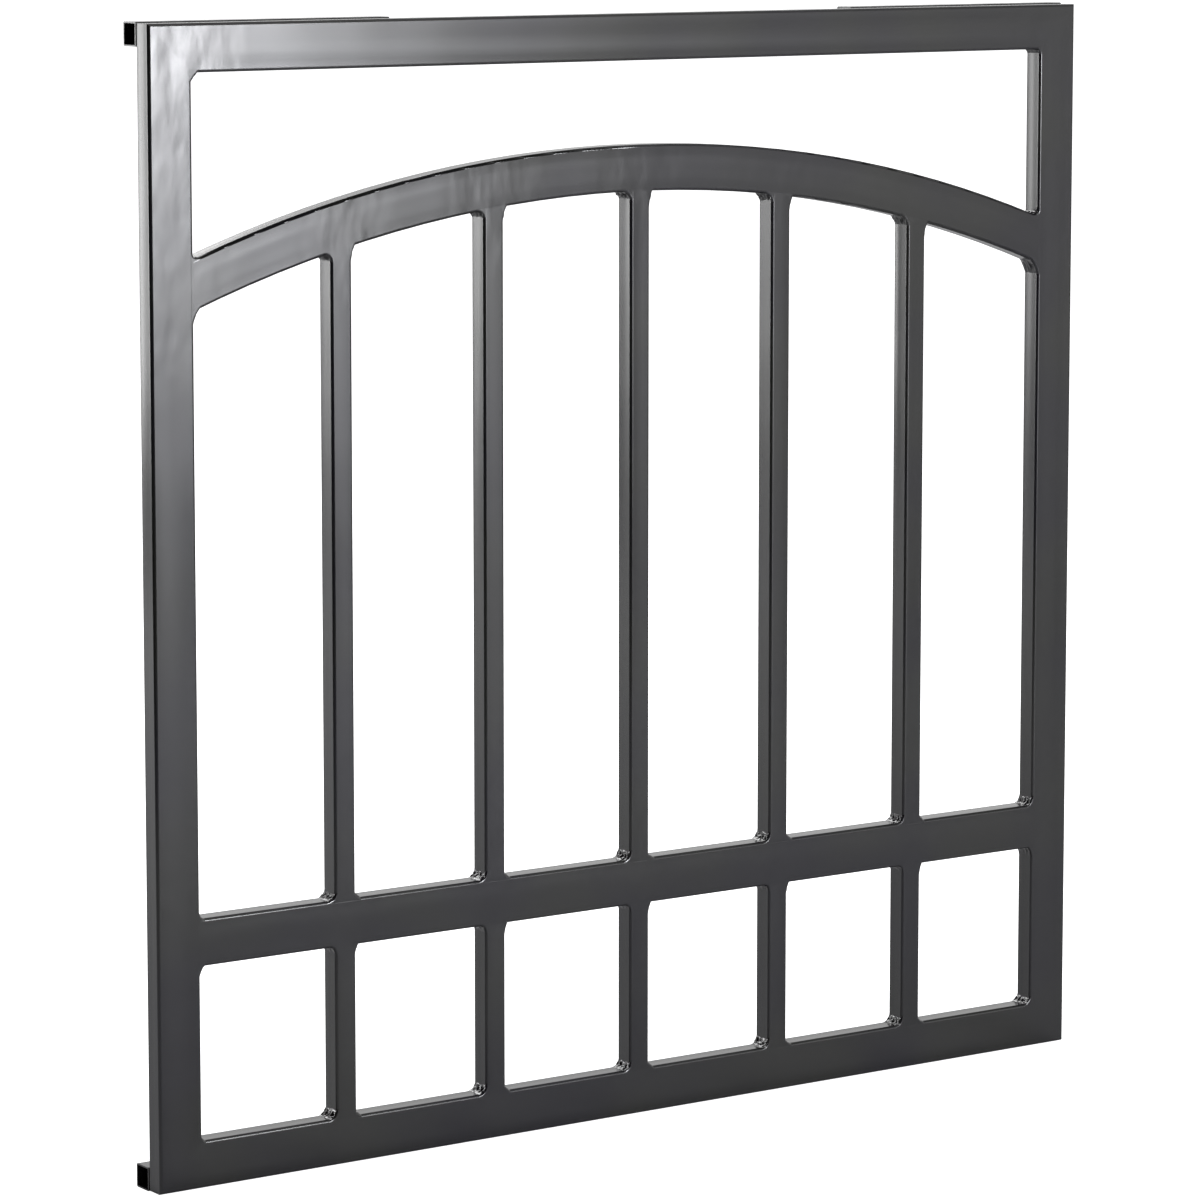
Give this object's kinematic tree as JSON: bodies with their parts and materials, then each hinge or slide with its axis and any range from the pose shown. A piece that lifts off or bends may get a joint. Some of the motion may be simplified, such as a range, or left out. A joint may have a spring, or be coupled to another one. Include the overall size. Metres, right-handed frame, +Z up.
{
  "type": "window security bar guard",
  "caption": "Welded square-tube window guard with an arched rail over upright bars and sliding wall arms in sleeves behind the corners",
  "frame": {"origin": "centre of the guard's base: mid width, mid depth, at the height of the lower sleeves' undersides", "axes": "+X to the right seen from the front, front faces -Y, +Z up, wall plane at +Y"},
  "size_m": [0.9144, 0.0382, 0.9164],
  "materials": {
    "black_paint": "semi-gloss black paint",
    "weld_paint": "semi-gloss black paint over weld beads",
    "arm_paint": "satin black paint"
  },
  "bodies": {
    "guard": {"left_stile": "black_paint", "right_stile": "black_paint", "top_rail": "black_paint", "bottom_rail": "black_paint", "mid_rail": "black_paint", "arch_rail": "black_paint", "upper_bar_1": "black_paint", "upper_bar_2": "black_paint", "upper_bar_3": "black_paint", "upper_bar_4": "black_paint", "upper_bar_5": "black_paint", "lower_bar_1": "black_paint", "lower_bar_2": "black_paint", "lower_bar_3": "black_paint", "lower_bar_4": "black_paint", "lower_bar_5": "black_paint", "upper_left_sleeve": "black_paint", "upper_right_sleeve": "black_paint", "lower_left_sleeve": "black_paint", "lower_right_sleeve": "black_paint", "frame_corner_welds": "weld_paint", "mid_rail_welds": "weld_paint", "arch_rail_welds": "weld_paint", "upper_bar_top_welds": "weld_paint", "upper_bar_foot_welds": "weld_paint", "lower_bar_top_welds": "weld_paint", "lower_bar_foot_welds": "weld_paint", "sleeve_welds": "weld_paint"},
    "upper_left_arm": {"upper_left_arm": "arm_paint"},
    "upper_right_arm": {"upper_right_arm": "arm_paint"},
    "lower_left_arm": {"lower_left_arm": "arm_paint"},
    "lower_right_arm": {"lower_right_arm": "arm_paint"}
  },
  "joints": [
    {"name": "upper_left_arm_slide", "type": "slide", "parent": "guard", "child": "upper_left_arm", "axis": [-1, 0, 0], "range_m": [0, 0.1778]},
    {"name": "upper_right_arm_slide", "type": "slide", "parent": "guard", "child": "upper_right_arm", "axis": [1, 0, 0], "range_m": [0, 0.1778]},
    {"name": "lower_left_arm_slide", "type": "slide", "parent": "guard", "child": "lower_left_arm", "axis": [-1, 0, 0], "range_m": [0, 0.1778]},
    {"name": "lower_right_arm_slide", "type": "slide", "parent": "guard", "child": "lower_right_arm", "axis": [1, 0, 0], "range_m": [0, 0.1778]}
  ]
}
